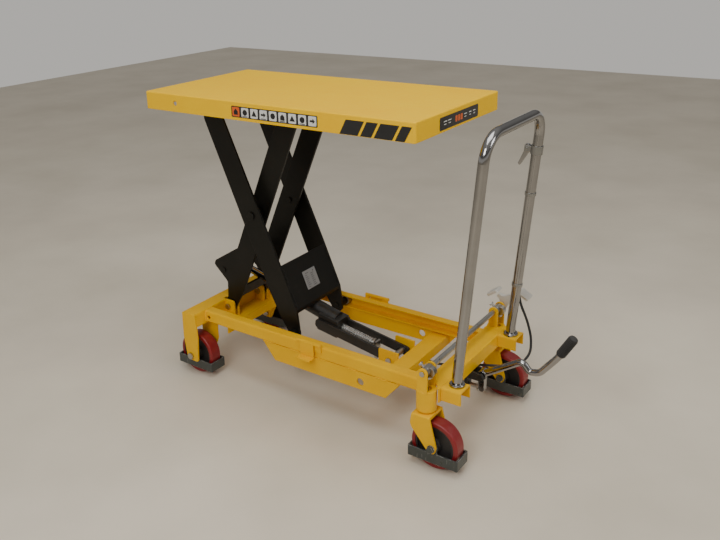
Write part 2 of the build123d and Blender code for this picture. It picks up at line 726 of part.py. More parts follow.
nodes["brake_shaft"] = brake_shaft()
nodes["brake_pedal"] = brake_pedal()
for name, side in sides.items():
    nodes["brake_rod_" + name] = brake_rod(side)


# ---------------------------------------------------------------- hydraulic pump
ram_dx = pump_pivot_x - ram_pin_x
ram_dz = ram_pin_z - pump_pivot_z
ram_reach = hypot(ram_dx, ram_dz)
pump_axis = Plane(origin=(pump_pivot_x, 0, pump_pivot_z), x_dir=(-ram_dx / ram_reach, 0, ram_dz / ram_reach),
                  z_dir=(ram_dz / ram_reach, 0, ram_dx / ram_reach))
bar_slope = 0.172
bar_axis = Plane(origin=(pump_pivot_x, 0, pump_pivot_z), x_dir=(-1, 0, bar_slope), z_dir=(bar_slope, 0, 1))
block_start = 222.0
gland_end = 546.0
ram_end_half = 19.0
piston_start = 450.0


def along(start, length, radius):
    """Round bar along a pump axis, in that axis's own frame."""
    place = Plane(origin=(start, 0, 0), x_dir=(0, 1, 0), z_dir=(1, 0, 0))
    return place * Cylinder(radius, length, align=(Align.CENTER, Align.CENTER, Align.MIN))


def pump_body():
    """Pump block and lift cylinder with a gland, drilled for the ram and the plunger."""
    base = Pos(block_start + 40, 0, 3) * Box(80, 68, 66)
    base = fillet(base.edges().filter_by(Axis.X), 6)
    body = bar_axis * base + pump_axis * (along(block_start + 22, 290, cylinder_radius))
    body = body + pump_axis * along(gland_end - 36, 36, cylinder_radius + 4)
    bore = along(block_start + 96, gland_end - block_start - 96 - 20, cylinder_radius - cylinder_wall)
    body = body - pump_axis * (bore + along(400, 200, ram_radius + running_gap))
    body = body - bar_axis * along(block_start - 1, 62, 8.05)
    valve = Pos(block_start + 30, -52, -8) * Box(34, 20, 24)
    knob = Plane(origin=(block_start + 24, -66, -8), z_dir=(0, 1, 0)) * Cylinder(8, 16)
    return Compound([body, bar_axis * (valve + knob)])


def pump_bars():
    """Two side bars from the clevis pin to the pump block, with the pin."""
    pieces = []
    for side in (-1, 1):
        bar = Pos(142, side * 38, 0) * Box(330, 8, 32)
        bar = fillet(bar.edges().filter_by(Axis.Y), 12)
        pieces.append(bar_axis * bar - shaft(pump_pivot_x, pump_pivot_z, arm_pin_radius + running_gap, (-60, 60)))
    return pieces


def ram():
    """Ram with a piston and a slotted end that the arms' cross shaft lies in."""
    slot_end = ram_pin_radius + ram_slot_travel
    pin = ram_reach
    rod = along(piston_start + 10, pin - 10 - piston_start - 10, ram_radius)
    piston = along(piston_start, 22, cylinder_radius - cylinder_wall - running_gap)
    end = Pos(pin, 0, 0) * Box(2 * ram_end_half, 26, 2 * (slot_end + 9))
    end = fillet(end.edges().filter_by(Axis.Y), 12)
    slot = Pos(pin, 0, 0) * Box(2 * ram_slot_half, 30, 2 * (slot_end - ram_slot_half))
    for offset in (-1, 1):
        place = Plane(origin=(pin, -15, offset * (slot_end - ram_slot_half)), x_dir=(1, 0, 0), z_dir=(0, 1, 0))
        slot = slot + place * Cylinder(ram_slot_half, 30, align=(Align.CENTER, Align.CENTER, Align.MIN))
    return pump_axis * (rod + piston + end - slot)


def pump_plunger():
    """Pump plunger with the spring seat that the push rod bears on."""
    return bar_axis * (along(94, 162, 8) + along(88, 6, 16))


def plunger_spring():
    """Return spring round the plunger, between its seat and the block."""
    return bar_axis * (along(94, block_start - 94, 14) - along(93, block_start - 92, 10.5))


nodes["pump_body"] = pump_body()
nodes["pump_side_bars"] = Compound(pump_bars())
nodes["ram"] = ram()
nodes["pump_plunger"] = pump_plunger()
nodes["plunger_spring"] = plunger_spring()


# ---------------------------------------------------------------- pedal linkage
seat_x = pump_pivot_x - 88 / sqrt(1 + bar_slope ** 2)
seat_z = pump_pivot_z + bar_slope * (pump_pivot_x - seat_x)


def push_rod():
    """Rod under the cross member, from the pedal's crank to the plunger's seat."""
    plate_x = seat_x + 8
    body = stud(0, push_rod_z, push_rod_radius, (plate_x, pedal_pivot_x - 9 - 5))
    upright = profile([(plate_x - 3, push_rod_z - 10, 2), (plate_x + 5, push_rod_z - 10, 2),
                       (plate_x + 5, seat_z + 12, 2), (plate_x - 3, seat_z + 12, 2)], (-14, 14))
    pad = stud(0, push_rod_z, 13, (pedal_pivot_x - 9 - 6, pedal_pivot_x - 9 - 0.5))
    return body + upright + pad


def rod_guide(x, top):
    """Plate lug that the push rod slides in."""
    body = block((x - 5, x + 5), (-15, 15), (push_rod_z - 14, top))
    return body - stud(0, push_rod_z, push_rod_radius + running_gap, (x - 6, x + 6))


def pedal_bracket():
    """Two triangular cheeks under the rear beam that hold the pedal's pivot."""
    pieces = []
    for side in (-1, 1):
        cheek = profile([(rear_beam_x + 2, rear_beam_bottom), (rear_beam_end_x, rear_beam_bottom),
                         (pedal_pivot_x + 15, pedal_pivot_z + 4, 6), (pedal_pivot_x + 8, pedal_pivot_z - 16, 6),
                         (rear_beam_x + 24, rear_beam_bottom - 26, 8)], span(side, 16, 16 + plate))
        cheek = cheek - shaft(pedal_pivot_x, pedal_pivot_z, 7, (-30, 30))
        pieces.append(cheek)
    pin = shaft(pedal_pivot_x, pedal_pivot_z, 7, (-24, 24))
    for side in (-1, 1):
        pin = pin + hex_head(pedal_pivot_x, pedal_pivot_z, 20, span(side, 22, 29))
    return pieces + [pin]


def foot_pedal():
    """Bent pedal bar on a pivoted boss, with a crank that drives the push rod."""
    x = pedal_pivot_x
    z = pedal_pivot_z
    boss = shaft(x, z, 15, (-14, 14))
    crank = profile([(x - 9, z), (x + 9, z), (x + 8, z - pedal_crank - 8, 7), (x - 8, z - pedal_crank - 8, 7)],
                    (-10, 10)) + shaft(x, z - pedal_crank, 9, (-10, 10))
    bar = pipe([(x + 6, 0, z + 4), (728, 0, 274), (752, 0, 246), (782, 0, 252), (832, 0, 316), (868, 0, 378)], pedal_tube_radius,
               [16.0, 16.0, 30.0, 200.0])
    return boss + crank + bar - shaft(x, z, 7 + running_gap, (-40, 40))


def foot_grip():
    """Ribbed sleeve on the pedal's end."""
    start = Vector(832, 0, 316)
    direction = (Vector(868, 0, 378) - start).normalized()
    place = Plane(origin=start + direction * 14, x_dir=(0, 1, 0), z_dir=direction)
    body = Cylinder(15, 74, align=(Align.CENTER, Align.CENTER, Align.MIN))
    body = fillet(body.edges().filter_by(GeomType.CIRCLE), 4)
    bore = Pos(0, 0, -1) * Cylinder(pedal_tube_radius, 60, align=(Align.CENTER, Align.CENTER, Align.MIN))
    return place * (body - bore)


nodes["push_rod"] = push_rod()
guides = [rod_guide(rear_cross_x + 20, rear_cross_top - 4), rod_guide(555, rear_beam_bottom)]
nodes["pedal_bracket"] = Compound(pedal_bracket() + guides)
nodes["foot_pedal"] = foot_pedal()
nodes["foot_grip"] = foot_grip()


# ---------------------------------------------------------------- travel stops on the rails
stop_x = (45.0, 140.0)
stop_flap_x = (62.0, 115.0)
stop_axis_y = rail_outer_y + 6
stop_axis_z = rail_top + 7
stop_pin_radius = 3.0


def stop_knuckles(side):
    """Hinge pin and fixed knuckles at the ends, welded on the rail's outer edge."""
    y = side * stop_axis_y
    pieces = []
    for x in ((stop_x[0], stop_flap_x[0] - side_gap), (stop_flap_x[1] + side_gap, stop_x[1])):
        knuckle = stud(y, stop_axis_z, 6, x)
        foot = block(x, span(side, rail_outer_y, stop_axis_y), (stop_axis_z - 26, stop_axis_z - 3))
        pieces.append(knuckle + foot)
    pin = stud(y, stop_axis_z, stop_pin_radius, (stop_x[0] - 3, stop_x[1] + 3))
    return merged(pieces + [pin])


def travel_stop(side):
    """Flap that hangs outside the rail and folds over it to block the roller."""
    y = side * stop_axis_y
    tube = stud(y, stop_axis_z, 6, stop_flap_x)
    hang = block(stop_flap_x, span(side, stop_axis_y + 1, stop_axis_y + 6), (stop_axis_z - 52, stop_axis_z))
    foot = block(stop_flap_x, span(side, stop_axis_y + 1, stop_axis_y + 30), (stop_axis_z - 52, stop_axis_z - 47))
    body = tube + hang + foot
    return body - stud(y, stop_axis_z, stop_pin_radius + running_gap, (stop_flap_x[0] - 1, stop_flap_x[1] + 1))


nodes["stop_knuckles"] = Compound([stop_knuckles(-1), stop_knuckles(1)])
for name, side in sides.items():
    nodes["travel_stop_" + name] = travel_stop(side)


# ---------------------------------------------------------------- pins and bolts of the base
def frame_bolts():
    """Fixed-wheel axles, arm pivot pins with heads, and the pump's clevis pin."""
    pieces = [front_axle(-1), front_axle(1)]
    for side in (-1, 1):
        start = inner_arm_inner - 4 - plate
        end = inner_arm_outer + 4 + plate
        pin = shaft(fixed_pivot_x, pivot_height, arm_pin_radius, span(side, start, end))
        pin = pin + hex_head(fixed_pivot_x, pivot_height, 20, span(side, end, end + 8))
        pieces.append(pin + hex_head(fixed_pivot_x, pivot_height, 20, span(side, start - 8, start)))
    clevis = shaft(pump_pivot_x, pump_pivot_z, arm_pin_radius, (-60, 60))
    return pieces + [clevis]


nodes["frame_bolts"] = Compound(frame_bolts())


# ---------------------------------------------------------------- release lever and cable
lever_fraction = 0.835
leg_low = Vector(handle_foot_x, handle_half_width, rear_beam_top + 30)
leg_high = Vector(handle_top_x, handle_half_width, handle_top_z)
leg_direction = (leg_high - leg_low).normalized()
leg_front = Vector(-leg_direction.Z, 0, leg_direction.X)


def on_leg(fraction, forward, sideways=0.0):
    """Place beside the handle's far leg: a fraction of the way up and an offset from its middle."""
    return leg_low + (leg_high - leg_low) * fraction + leg_front * forward + Vector(0, sideways, 0)


lever_pivot = on_leg(lever_fraction, handle_radius + 14)


def lever_bracket():
    """Clamp on the handle leg with two cheeks for the release lever."""
    middle = on_leg(lever_fraction, 0)
    place = Plane(origin=middle, x_dir=(0, 1, 0), z_dir=leg_direction)
    band = place * (Cylinder(handle_radius + 3, 26) - Cylinder(handle_radius, 30))
    cheeks = []
    for side in (-1, 1):
        cheek = Pos(side * 7.5, handle_radius + 10, 0) * Box(3, 22, 18)
        cheeks.append(place * cheek)
    socket = place * Pos(21, 0, -4) * Cylinder(7, 18)
    pin = shaft(lever_pivot.X, lever_pivot.Z, 3, (handle_half_width - 11, handle_half_width + 11))
    return merged([band] + cheeks + [socket, pin]) - place * Cylinder(handle_radius, 60)


def release_lever():
    """Finger lever, hinged on the handle leg, that opens the lowering valve."""
    base = lever_pivot
    y = (handle_half_width - 5, handle_half_width + 5)
    outline = []
    for up, forward, rounding in ((12, -6, 3), (13, 6, 3), (-10, 8, 14), (-52, 22, 2.5), (-58, 16, 2.5), (-14, -6, 14)):
        point = base + leg_direction * up + leg_front * forward
        outline.append((point.X, point.Z, rounding))
    body = profile(outline, y)
    return body - shaft(base.X, base.Z, 3 + running_gap, (0, 400))


cable_radius = 4.0
clip_fractions = (0.64, 0.21)
cable_route = [on_leg(0.816, 0, 21), on_leg(0.73, 3, 21), on_leg(0.64, 0, 21), on_leg(0.548, 3, 21),
               on_leg(0.456, 0, 21), on_leg(0.364, 3, 21), on_leg(0.272, 0, 21), on_leg(0.165, 0, 21),
               Vector(631, 208, 352), Vector(655, 207, 305), Vector(676, 198, 252), Vector(684, 178, 206),
               Vector(666, 150, 176), Vector(622, 118, 170), Vector(566, 94, 168), Vector(508, 78, 160),
               Vector(452, 68, 146), Vector(404, 66, 138), Vector(366, 67, 143)]


def cable_bends(points):
    """Radius at each corner: 0.45 of its shorter run over the tangent of half its turn."""
    radii = []
    for before, here, after in zip(points, points[1:], points[2:]):
        into = here - before
        out = after - here
        turn = radians(into.get_angle(out))
        radii.append(0.45 * min(into.length, out.length) / tan(turn / 2))
    return radii


cable_radii = cable_bends(cable_route)


def release_cable():
    return pipe(cable_route, cable_radius, cable_radii)


def cable_clip(fraction):
    """Band round the handle leg with an eye for the cable."""
    place = Plane(origin=on_leg(fraction, 0), x_dir=(0, 1, 0), z_dir=leg_direction)
    band = Cylinder(handle_radius + 2, 10) - Cylinder(handle_radius, 12)
    eye = Pos(21, 0, 0) * (Cylinder(cable_radius + 2.5, 10) - Cylinder(cable_radius + 1.2, 12))
    return place * (band + eye - Pos(21, 0, 0) * Cylinder(cable_radius + 1.2, 12) - Cylinder(handle_radius, 12))


def cable_anchor():
    """Cable stop hanging under the rear cross member beside the pump."""
    end = cable_route[-1]
    return block((end.X - 16, end.X - 0.6), (end.Y - 9, end.Y + 9), (end.Z - 9, rear_cross_top - 4))


nodes["release_lever"] = release_lever()
nodes["release_cable"] = release_cable()
nodes["cable_holders"] = Compound([lever_bracket(), cable_anchor()] + [cable_clip(f) for f in clip_fractions])


# ---------------------------------------------------------------- place and write
whole = Compound([shape for shape in nodes.values()]).bounding_box()
origin_x = (whole.min.X + whole.max.X) / 2
origin_y = (whole.min.Y + whole.max.Y) / 2

os.makedirs("parts", exist_ok=True)
for name, shape in nodes.items():
    export_step(Pos(-origin_x, -origin_y, 0) * shape, "parts/" + name + ".step")

cable_length = release_cable().volume / (pi * cable_radius ** 2)
print("nodes", len(nodes), "origin", round(origin_x, 3), round(origin_y, 3))
print("lift travel", round(lift_travel_deg, 3), "arm length", round(arm_length, 2))
print("cable radii", [round(r) for r in cable_radii], "cable length", round(cable_length))
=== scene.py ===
import json
from math import cos, pi, sin

import bmesh
import bpy
from mathutils import Matrix, Vector


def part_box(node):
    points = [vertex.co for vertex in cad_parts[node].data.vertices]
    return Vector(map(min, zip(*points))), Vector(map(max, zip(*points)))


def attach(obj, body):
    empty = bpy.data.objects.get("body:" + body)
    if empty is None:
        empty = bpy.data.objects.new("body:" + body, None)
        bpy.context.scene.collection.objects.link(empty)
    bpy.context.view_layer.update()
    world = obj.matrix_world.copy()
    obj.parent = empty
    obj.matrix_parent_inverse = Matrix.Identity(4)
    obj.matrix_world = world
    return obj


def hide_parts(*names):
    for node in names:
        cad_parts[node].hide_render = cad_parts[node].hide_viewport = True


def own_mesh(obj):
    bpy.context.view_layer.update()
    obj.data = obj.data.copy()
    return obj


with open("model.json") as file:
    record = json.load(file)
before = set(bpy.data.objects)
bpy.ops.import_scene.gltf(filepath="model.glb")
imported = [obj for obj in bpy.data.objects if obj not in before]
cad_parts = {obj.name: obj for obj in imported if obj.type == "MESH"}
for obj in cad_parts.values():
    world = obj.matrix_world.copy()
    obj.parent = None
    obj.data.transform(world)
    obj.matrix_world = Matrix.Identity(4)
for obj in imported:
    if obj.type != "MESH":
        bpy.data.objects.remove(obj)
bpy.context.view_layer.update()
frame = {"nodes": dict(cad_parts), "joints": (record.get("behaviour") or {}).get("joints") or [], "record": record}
record = frame["record"]
jointPlace = {joint["name"]: Vector(joint["pos_m"]) for joint in frame["joints"] if "pos_m" in joint}
platformLow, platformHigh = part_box("platform_top")
centre = (platformLow + platformHigh) / 2
print("frame loaded:", len(frame["nodes"]), "nodes")


# ---- materials: one dictionary per finish, all built by the same tree
class Shade:
    # short helper for adding and linking shader nodes
    def __init__(self, name):
        self.material = bpy.data.materials.new(name)
        self.material.use_nodes = True
        self.tree = self.material.node_tree
        self.bsdf = self.tree.nodes["Principled BSDF"]

    def add(self, kind, values=None, **settings):
        node = self.tree.nodes.new(kind)
        for key, value in settings.items():
            setattr(node, key, value)
        for socket, value in (values or {}).items():
            if isinstance(value, bpy.types.NodeSocket):
                self.tree.links.new(value, node.inputs[socket])
            else:
                node.inputs[socket].default_value = value
        return node

    def link(self, output, socket):
        self.tree.links.new(output, self.bsdf.inputs[socket])

    def math(self, operation, first, second=0.5, clamp=False):
        return self.add("ShaderNodeMath", {0: first, 1: second}, operation=operation, use_clamp=clamp).outputs[0]

    def ramp(self, value, low, high, fromValue=0.0, toValue=1.0):
        return self.add("ShaderNodeMapRange", {"Value": value, "From Min": low, "From Max": high,
                                               "To Min": fromValue, "To Max": toValue}).outputs["Result"]

    def mix(self, factor, first, second):
        node = self.add("ShaderNodeMix", data_type="RGBA")
        for socket, value in ((0, factor), (6, first), (7, second)):
            if isinstance(value, bpy.types.NodeSocket):
                self.tree.links.new(value, node.inputs[socket])
            else:
                node.inputs[socket].default_value = value
        return node.outputs[2]


def rgba(colour):
    return (*colour, 1.0)


finishLooks = {
    "platform_paint": dict(colour=(1.0, 0.600, 0.0), shade=(0.98, 0.550, 0.0), wear=(0.80, 0.62, 0.20),
                           roughness=0.42, shine=0.10, peel=0.00006, peelScale=420, edge=0.25, dust=0.0,
                           scratch=0.06),
    "frame_paint": dict(colour=(0.95, 0.540, 0.0), shade=(0.88, 0.460, 0.0), wear=(0.62, 0.46, 0.16),
                        roughness=0.36, shine=0.16, peel=0.00008, peelScale=360, edge=0.35, dust=0.0,
                        scratch=0.08),
    "arm_paint": dict(colour=(0.0065, 0.006, 0.0045), shade=(0.012, 0.011, 0.008), wear=(0.09, 0.08, 0.07),
                      roughness=0.36, shine=0.22, peel=0.00010, peelScale=300, edge=0.3, dust=0.0,
                      scratch=0.10),
    "pump_paint": dict(colour=(0.010, 0.009, 0.008), shade=(0.020, 0.018, 0.015), wear=(0.14, 0.13, 0.11),
                       roughness=0.40, coat=0.05, peel=0.00018, peelScale=200, edge=0.5, dust=0.04, scratch=0.16),
    "handle_chrome": dict(colour=(0.36, 0.35, 0.345), shade=(0.27, 0.265, 0.26), wear=(0.55, 0.55, 0.54), metal=1.0,
                          roughness=0.10, peel=0.00001, peelScale=90, edge=0.1, dust=0.02, scratch=0.12),
    "pin_steel": dict(colour=(0.50, 0.49, 0.46), shade=(0.36, 0.34, 0.30), wear=(0.72, 0.71, 0.69), metal=1.0,
                      roughness=0.30, peel=0.00003, peelScale=500, edge=0.5, dust=0.05, scratch=0.3),
    "spring_wire": dict(colour=(0.80, 0.80, 0.78), shade=(0.66, 0.66, 0.63), wear=(0.85, 0.85, 0.84), metal=0.7,
                        roughness=0.26, peel=0.00002, peelScale=600, edge=0.2, dust=0.0, scratch=0.1),
    "guard_steel": dict(colour=(0.090, 0.100, 0.096), shade=(0.055, 0.062, 0.059), wear=(0.78, 0.79, 0.76),
                        metal=0.45, roughness=0.32, peel=0.00009, peelScale=260, edge=0.9, dust=0.12, scratch=0.45),
    "roller_steel": dict(colour=(0.40, 0.39, 0.37), shade=(0.28, 0.26, 0.23), wear=(0.65, 0.64, 0.62), metal=1.0,
                         roughness=0.35, peel=0.00003, peelScale=600, edge=0.5, dust=0.05, scratch=0.4),
    "wheel_tyre": dict(colour=(0.30, 0.012, 0.016), shade=(0.20, 0.008, 0.010), wear=(0.36, 0.05, 0.04),
                       roughness=0.38, coat=0.1, peel=0.00008, peelScale=180, edge=0.2, dust=0.08, scratch=0.2),
    "wheel_core": dict(colour=(0.014, 0.013, 0.013), shade=(0.03, 0.027, 0.024), wear=(0.16, 0.15, 0.14),
                       roughness=0.5, peel=0.00025, peelScale=150, edge=0.4, dust=0.16, scratch=0.1),
    "pedal_cast": dict(colour=(0.78, 0.75, 0.68), shade=(0.62, 0.59, 0.52), wear=(0.86, 0.85, 0.82), metal=0.35,
                       roughness=0.42, peel=0.0002, peelScale=210, edge=0.5, dust=0.08, scratch=0.25),
    "grip_rubber": dict(colour=(0.012, 0.012, 0.012), shade=(0.026, 0.025, 0.024), wear=(0.06, 0.06, 0.06),
                        roughness=0.72, peel=0.0002, peelScale=700, edge=0.3, dust=0.2, scratch=0.05),
    "cable_sheath": dict(colour=(0.012, 0.012, 0.013), shade=(0.02, 0.02, 0.02), wear=(0.05, 0.05, 0.05),
                         roughness=0.48, peel=0.00004, peelScale=800, edge=0.1, dust=0.1, scratch=0.05),
    "plate_metal": dict(colour=(0.42, 0.42, 0.42), shade=(0.34, 0.34, 0.34), wear=(0.7, 0.7, 0.7), metal=0.5,
                        roughness=0.36, peel=0.00002, peelScale=900, edge=0.3, dust=0.03, scratch=0.35),
    "clip_steel": dict(colour=(0.36, 0.36, 0.35), shade=(0.26, 0.26, 0.25), wear=(0.6, 0.6, 0.58), metal=1.0,
                       roughness=0.3, peel=0.00003, peelScale=500, edge=0.5, dust=0.04, scratch=0.2),
    "label_black": dict(colour=(0.010, 0.010, 0.011), shade=(0.016, 0.016, 0.017), wear=(0.05, 0.05, 0.05),
                        roughness=0.34, coat=0.3, peel=0.00002, peelScale=900, edge=0.1, dust=0.03, scratch=0.1),
    "label_white": dict(colour=(0.78, 0.78, 0.74), shade=(0.70, 0.70, 0.66), wear=(0.6, 0.6, 0.6),
                        roughness=0.34, coat=0.3, peel=0.00002, peelScale=900, edge=0.1, dust=0.03, scratch=0.1),
    "label_orange": dict(colour=(0.82, 0.14, 0.012), shade=(0.72, 0.11, 0.01), wear=(0.7, 0.2, 0.05),
                         roughness=0.34, coat=0.3, peel=0.00002, peelScale=900, edge=0.1, dust=0.03, scratch=0.1),
}


def makeFinish(name, look):
    s = Shade(name)
    place = s.add("ShaderNodeTexCoord").outputs["Object"]
    broad = s.add("ShaderNodeTexNoise", {"Vector": place, "Scale": 7.0, "Detail": 5.0, "Roughness": 0.6}).outputs[0]
    fine = s.add("ShaderNodeTexNoise", {"Vector": place, "Scale": 70.0, "Detail": 6.0, "Roughness": 0.65}).outputs[0]
    peel = s.add("ShaderNodeTexNoise", {"Vector": place, "Scale": look["peelScale"], "Detail": 3.0}).outputs[0]
    streakPlace = s.add("ShaderNodeMapping", {"Vector": place, "Rotation": (0.4, 0.9, 0.2),
                                              "Scale": (260.0, 18.0, 30.0)}).outputs[0]
    streak = s.add("ShaderNodeTexNoise", {"Vector": streakPlace, "Scale": 1.0, "Detail": 4.0}).outputs[0]
    scratch = s.math("MULTIPLY", s.ramp(streak, 0.62, 0.74), look["scratch"])
    scratch = s.math("MULTIPLY", scratch, s.ramp(broad, 0.42, 0.6))

    # rounded edges for the highlight, and bare or chipped paint where they turn
    soft = s.add("ShaderNodeBevel", {"Radius": 0.0016}, samples=6).outputs[0]
    flat = s.add("ShaderNodeNewGeometry").outputs["Normal"]
    turn = s.add("ShaderNodeVectorMath", {0: soft, 1: flat}, operation="DOT_PRODUCT").outputs["Value"]
    edge = s.math("MULTIPLY", s.ramp(turn, 0.995, 0.90), s.ramp(fine, 0.44, 0.62))
    edge = s.math("MULTIPLY", edge, look["edge"], clamp=True)

    # dust settles on faces that look up, thicker in broad patches
    upward = s.add("ShaderNodeSeparateXYZ", {0: flat}).outputs["Z"]
    dust = s.math("MULTIPLY", s.ramp(upward, 0.3, 1.0), s.ramp(fine, 0.35, 0.75))
    dust = s.math("MULTIPLY", dust, look["dust"], clamp=True)

    body = s.mix(s.ramp(broad, 0.3, 0.75), rgba(look["colour"]), rgba(look["shade"]))
    body = s.mix(edge, body, rgba(look["wear"]))
    body = s.mix(scratch, body, rgba(look["wear"]))
    body = s.mix(dust, body, (0.50, 0.47, 0.42, 1.0))
    s.link(body, "Base Color")

    gloss = s.ramp(fine, 0.3, 0.7, look["roughness"] * 0.82, look["roughness"] * 1.22)
    gloss = s.math("ADD", gloss, s.math("MULTIPLY", dust, 1.4))
    gloss = s.math("ADD", gloss, s.math("MULTIPLY", edge, 0.15), clamp=True)
    s.link(gloss, "Roughness")

    small = s.add("ShaderNodeBump", {"Height": peel, "Distance": look["peel"], "Strength": 0.8, "Normal": soft})
    scored = s.add("ShaderNodeBump", {"Height": scratch, "Distance": 0.00015, "Strength": 0.5,
                                      "Normal": small.outputs[0]})
    s.link(scored.outputs[0], "Normal")
    s.bsdf.inputs["Metallic"].default_value = look.get("metal", 0.0)
    s.bsdf.inputs["Specular IOR Level"].default_value = look.get("shine", 0.5)
    s.bsdf.inputs["Coat Weight"].default_value = look.get("coat", 0.0)
    s.bsdf.inputs["Coat Roughness"].default_value = 0.12
    return s.material


finishes = {name: makeFinish(name, look) for name, look in finishLooks.items()}
for part in record["subparts"]:
    cadPiece = frame["nodes"][part["node"]]
    cadPiece.data.materials.clear()
    cadPiece.data.materials.append(finishes[part["material_slot"]])
print("finishes set on the CAD pieces")


# ---- shared mesh helpers
def newPiece(name, bm, finish, body):
    bmesh.ops.recalc_face_normals(bm, faces=bm.faces)
    mesh = bpy.data.meshes.new(name)
    bm.to_mesh(mesh)
    bm.free()
    return placePiece(name, mesh, finish, body)


def placePiece(name, mesh, finish, body):
    piece = bpy.data.objects.new(name, mesh)
    bpy.context.scene.collection.objects.link(piece)
    if not mesh.materials:
        mesh.materials.append(finishes[finish])
    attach(piece, body)
    return piece


def slab(bm, outline, origin, right, up, thickness):
    # extrudes a flat outline of (across, up) points, standing proud of a surface
    out = right.cross(up)
    back = [bm.verts.new(origin + right * u + up * v) for u, v in outline]
    front = [bm.verts.new(vert.co + out * thickness) for vert in back]
    count = len(outline)
    bm.faces.new(list(reversed(back)))
    bm.faces.new(front)
    for i in range(count):
        bm.faces.new((back[i], back[(i + 1) % count], front[(i + 1) % count], front[i]))


def roundedBox(width, height, corner, steps=5):
    outline = []
    for cx, cy, start in ((1, -1, -pi / 2), (1, 1, 0), (-1, 1, pi / 2), (-1, -1, pi)):
        for i in range(steps + 1):
            angle = start + i * pi / 2 / steps
            outline.append((cx * (width / 2 - corner) + corner * cos(angle),
                            cy * (height / 2 - corner) + corner * sin(angle)))
    return outline


def shifted(outline, across, up):
    return [(u + across, v + up) for u, v in outline]


# ---- Geometry Nodes: the same small piece repeated along a path
def addNode(tree, kind, links=None, **settings):
    node = tree.nodes.new(kind)
    for key, value in settings.items():
        setattr(node, key, value)
    for socket, value in (links or {}).items():
        if isinstance(value, bpy.types.NodeSocket):
            tree.links.new(value, node.inputs[socket])
        else:
            node.inputs[socket].default_value = value
    return node


def repeatTree():
    tree = bpy.data.node_groups.new("repeatAlongPath", "GeometryNodeTree")
    face = tree.interface
    face.new_socket("Path", in_out="INPUT", socket_type="NodeSocketGeometry")
    for label, kind in (("Unit", "NodeSocketObject"), ("Spacing", "NodeSocketFloat"), ("Turn", "NodeSocketVector"),
                        ("Vary", "NodeSocketFloat"), ("Seed", "NodeSocketInt"), ("Finish", "NodeSocketMaterial")):
        face.new_socket(label, in_out="INPUT", socket_type=kind)
    face.new_socket("Geometry", in_out="OUTPUT", socket_type="NodeSocketGeometry")
    entry = tree.nodes.new("NodeGroupInput").outputs
    curve = addNode(tree, "GeometryNodeMeshToCurve", {"Mesh": entry["Path"]})
    dots = addNode(tree, "GeometryNodeResampleCurve", {"Curve": curve.outputs[0], "Length": entry["Spacing"]},
                   mode="LENGTH")
    unit = addNode(tree, "GeometryNodeObjectInfo", {"Object": entry["Unit"]})
    low = addNode(tree, "ShaderNodeMath", {0: 1.0, 1: entry["Vary"]}, operation="SUBTRACT")
    high = addNode(tree, "ShaderNodeMath", {0: 1.0, 1: entry["Vary"]}, operation="ADD")
    chance = addNode(tree, "FunctionNodeRandomValue", {"Seed": entry["Seed"]}, data_type="FLOAT")
    tree.links.new(low.outputs[0], chance.inputs[2])
    tree.links.new(high.outputs[0], chance.inputs[3])
    placed = addNode(tree, "GeometryNodeInstanceOnPoints",
                     {"Points": dots.outputs[0], "Instance": unit.outputs["Geometry"],
                      "Rotation": entry["Turn"], "Scale": chance.outputs[1]})
    real = addNode(tree, "GeometryNodeRealizeInstances", {0: placed.outputs[0]})
    dressed = addNode(tree, "GeometryNodeSetMaterial", {"Geometry": real.outputs[0], "Material": entry["Finish"]})
    leave = tree.nodes.new("NodeGroupOutput")
    tree.links.new(dressed.outputs[0], leave.inputs[0])
    return tree


def runTree(name, mesh, tree, inputs):
    # runs a tree on a mesh and returns the result as a plain mesh
    holder = bpy.data.objects.new(name, mesh)
    bpy.context.scene.collection.objects.link(holder)
    modifier = holder.modifiers.new("tree", "NODES")
    modifier.node_group = tree
    for item in tree.interface.items_tree:
        if item.item_type == "SOCKET" and item.in_out == "INPUT" and item.name in inputs:
            modifier[item.identifier] = inputs[item.name]
    bpy.context.view_layer.update()
    result = bpy.data.meshes.new_from_object(holder.evaluated_get(bpy.context.evaluated_depsgraph_get()))
    result.name = name
    bpy.data.objects.remove(holder)
    return result


def pathMesh(runs):
    # each run is a list of points joined by edges
    bm = bmesh.new()
    for run in runs:
        verts = [bm.verts.new(point) for point in run]
        for first, second in zip(verts, verts[1:]):
            bm.edges.new((first, second))
    mesh = bpy.data.meshes.new("path")
    bm.to_mesh(mesh)
    bm.free()
    return mesh


def unitObject(bm):
    mesh = bpy.data.meshes.new("unit")
    bm.to_mesh(mesh)
    bm.free()
    return bpy.data.objects.new("unit", mesh)


repeatPieces = repeatTree()


# ---- weld beads along the frame's visible seams
weldLook = dict(radius=0.0032, squash=0.80, spacing=0.0042, vary=0.18)


def weldUnit():
    bm = bmesh.new()
    bmesh.ops.create_icosphere(bm, subdivisions=2, radius=weldLook["radius"])
    for vert in bm.verts:
        vert.co.z *= weldLook["squash"]
    return unitObject(bm)


def weld(name, runs, finish, body, seed):
    unit = weldUnit()
    inputs = {"Unit": unit, "Spacing": weldLook["spacing"], "Turn": (0.0, 0.0, 0.0), "Vary": weldLook["vary"],
              "Seed": seed, "Finish": finishes[finish]}
    mesh = runTree(name, pathMesh(runs), repeatPieces, inputs)
    bpy.data.objects.remove(unit)
    for polygon in mesh.polygons:
        polygon.use_smooth = True
    return placePiece(name, mesh, finish, body)


